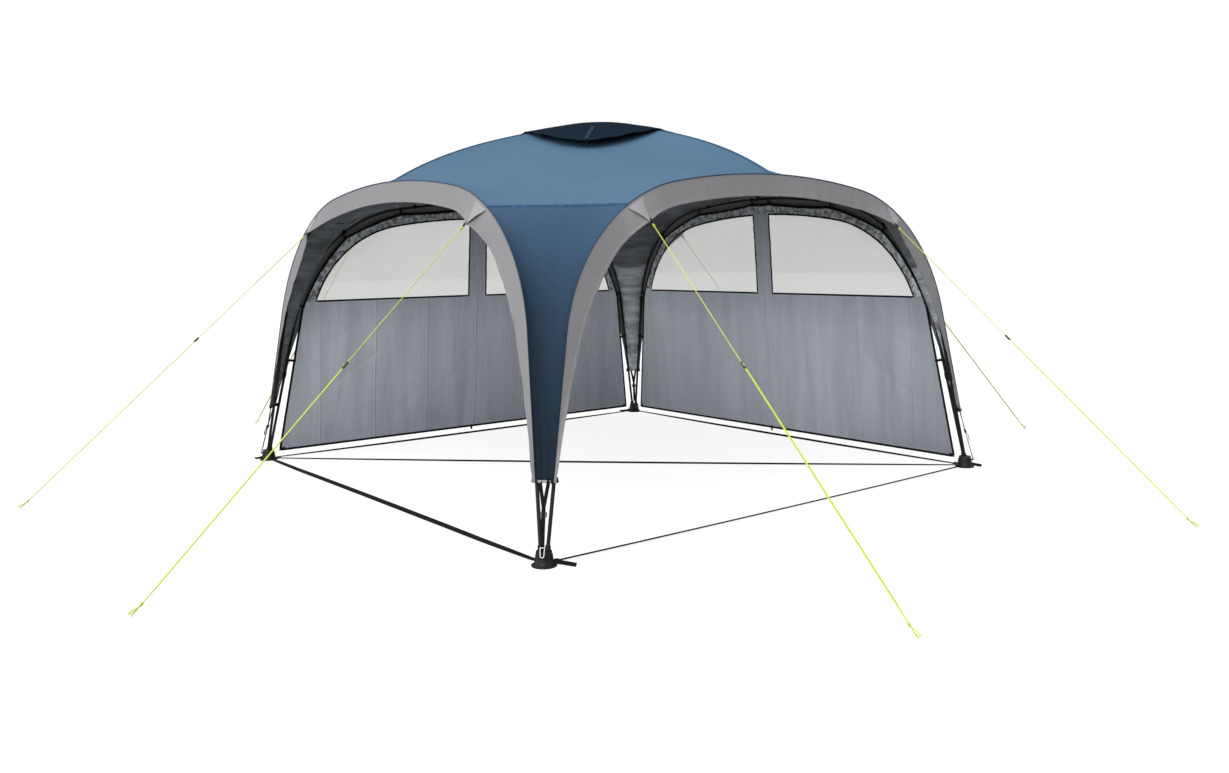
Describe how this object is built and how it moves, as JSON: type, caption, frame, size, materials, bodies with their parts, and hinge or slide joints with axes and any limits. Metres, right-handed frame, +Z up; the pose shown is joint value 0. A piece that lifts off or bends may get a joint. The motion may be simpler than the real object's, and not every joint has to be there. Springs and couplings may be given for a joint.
{
  "type": "tarp shelter",
  "caption": "Square event shelter: arched poles on splayed feet carry a domed cloth roof with a vent cap, hoods over open archways, and windowed walls on adjoining sides.",
  "frame": {"origin": "on the ground, at the centre of the square that the four feet make", "axes": "+Z up; the open front archway faces -Y and the open left archway faces -X; the walls close +Y and +X"},
  "size_m": [6.903, 6.903, 2.37],
  "materials": {
    "roof_cloth": "woven polyester, matt",
    "panel_cloth": "woven polyester, matt, darker blue",
    "cap_cloth": "woven polyester, matt, navy",
    "hood_cloth": "woven polyester, matt, pale grey",
    "wall_cloth": "woven polyester, matt, grey",
    "window_film": "soft milky clear film",
    "leg_steel": "black powder coat",
    "bent_pole": "black resin-wrapped rod",
    "foot_plastic": "black moulded plastic",
    "webbing": "black woven webbing",
    "guyline_cord": "bright yellow-green braided cord",
    "runner_plastic": "dark grey moulded plastic"
  },
  "bodies": {
    "shelter": {"arch_pole_back": "bent_pole", "arch_pole_front": "bent_pole", "arch_pole_left": "bent_pole", "arch_pole_right": "bent_pole", "foot_back_left": "foot_plastic", "foot_back_right": "foot_plastic", "foot_front_left": "foot_plastic", "foot_front_right": "foot_plastic", "ground_strap_back": "webbing", "ground_strap_diagonal": "webbing", "ground_strap_front": "webbing", "ground_strap_left": "webbing", "ground_strap_right": "webbing", "guyline_back_left": "guyline_cord", "guyline_back_right": "guyline_cord", "guyline_front_left": "guyline_cord", "guyline_front_right": "guyline_cord", "guyline_left_back": "guyline_cord", "guyline_left_front": "guyline_cord", "guyline_right_back": "guyline_cord", "guyline_right_front": "guyline_cord", "hood_back": "hood_cloth", "hood_front": "hood_cloth", "hood_left": "hood_cloth", "hood_right": "hood_cloth", "leg_panel_back_left": "panel_cloth", "leg_panel_back_right": "panel_cloth", "leg_panel_front_left": "panel_cloth", "leg_panel_front_right": "panel_cloth", "leg_pole_back_left_on_back": "leg_steel", "leg_pole_back_left_on_left": "leg_steel", "leg_pole_back_right_on_back": "leg_steel", "leg_pole_back_right_on_right": "leg_steel", "leg_pole_front_left_on_front": "leg_steel", "leg_pole_front_left_on_left": "leg_steel", "leg_pole_front_right_on_front": "leg_steel", "leg_pole_front_right_on_right": "leg_steel", "roof_canopy": "roof_cloth", "roof_pole_front_to_back": "bent_pole", "roof_pole_left_to_right": "bent_pole", "vent_cap": "cap_cloth", "wall_back": "wall_cloth", "wall_right": "wall_cloth", "window_back_left": "window_film", "window_back_right": "window_film", "window_right_back": "window_film", "window_right_front": "window_film"},
    "runner_back_left": {"runner_back_left": "runner_plastic"},
    "runner_back_right": {"runner_back_right": "runner_plastic"},
    "runner_front_left": {"runner_front_left": "runner_plastic"},
    "runner_front_right": {"runner_front_right": "runner_plastic"},
    "runner_left_back": {"runner_left_back": "runner_plastic"},
    "runner_left_front": {"runner_left_front": "runner_plastic"},
    "runner_right_back": {"runner_right_back": "runner_plastic"},
    "runner_right_front": {"runner_right_front": "runner_plastic"},
    "strap_buckle_back_left": {"strap_buckle_back_left": "foot_plastic"},
    "strap_buckle_back_right": {"strap_buckle_back_right": "foot_plastic"},
    "strap_buckle_front_left": {"strap_buckle_front_left": "foot_plastic"},
    "strap_buckle_front_right": {"strap_buckle_front_right": "foot_plastic"}
  },
  "joints": [
    {"name": "runner_back_left_slide", "type": "slide", "parent": "shelter", "child": "runner_back_left", "axis": [-0.086, 0.7306, -0.6774], "range_m": [-0.6, 0.9]},
    {"name": "runner_back_right_slide", "type": "slide", "parent": "shelter", "child": "runner_back_right", "axis": [0.086, 0.7306, -0.6774], "range_m": [-0.6, 0.9]},
    {"name": "runner_front_left_slide", "type": "slide", "parent": "shelter", "child": "runner_front_left", "axis": [-0.086, -0.7306, -0.6774], "range_m": [-0.6, 0.9]},
    {"name": "runner_front_right_slide", "type": "slide", "parent": "shelter", "child": "runner_front_right", "axis": [0.086, -0.7306, -0.6774], "range_m": [-0.6, 0.9]},
    {"name": "runner_left_back_slide", "type": "slide", "parent": "shelter", "child": "runner_left_back", "axis": [-0.7306, 0.086, -0.6774], "range_m": [-0.6, 0.9]},
    {"name": "runner_left_front_slide", "type": "slide", "parent": "shelter", "child": "runner_left_front", "axis": [-0.7306, -0.086, -0.6774], "range_m": [-0.6, 0.9]},
    {"name": "runner_right_back_slide", "type": "slide", "parent": "shelter", "child": "runner_right_back", "axis": [0.7306, 0.086, -0.6774], "range_m": [-0.6, 0.9]},
    {"name": "runner_right_front_slide", "type": "slide", "parent": "shelter", "child": "runner_right_front", "axis": [0.7306, -0.086, -0.6774], "range_m": [-0.6, 0.9]},
    {"name": "strap_buckle_back_left_slide", "type": "slide", "parent": "shelter", "child": "strap_buckle_back_left", "axis": [0.1967, -0.1967, 0.9605], "range_m": [-0.1, 0.006]},
    {"name": "strap_buckle_back_right_slide", "type": "slide", "parent": "shelter", "child": "strap_buckle_back_right", "axis": [-0.1967, -0.1967, 0.9605], "range_m": [-0.1, 0.006]},
    {"name": "strap_buckle_front_left_slide", "type": "slide", "parent": "shelter", "child": "strap_buckle_front_left", "axis": [0.1967, 0.1967, 0.9605], "range_m": [-0.1, 0.006]},
    {"name": "strap_buckle_front_right_slide", "type": "slide", "parent": "shelter", "child": "strap_buckle_front_right", "axis": [-0.1967, 0.1967, 0.9605], "range_m": [-0.1, 0.006]}
  ]
}
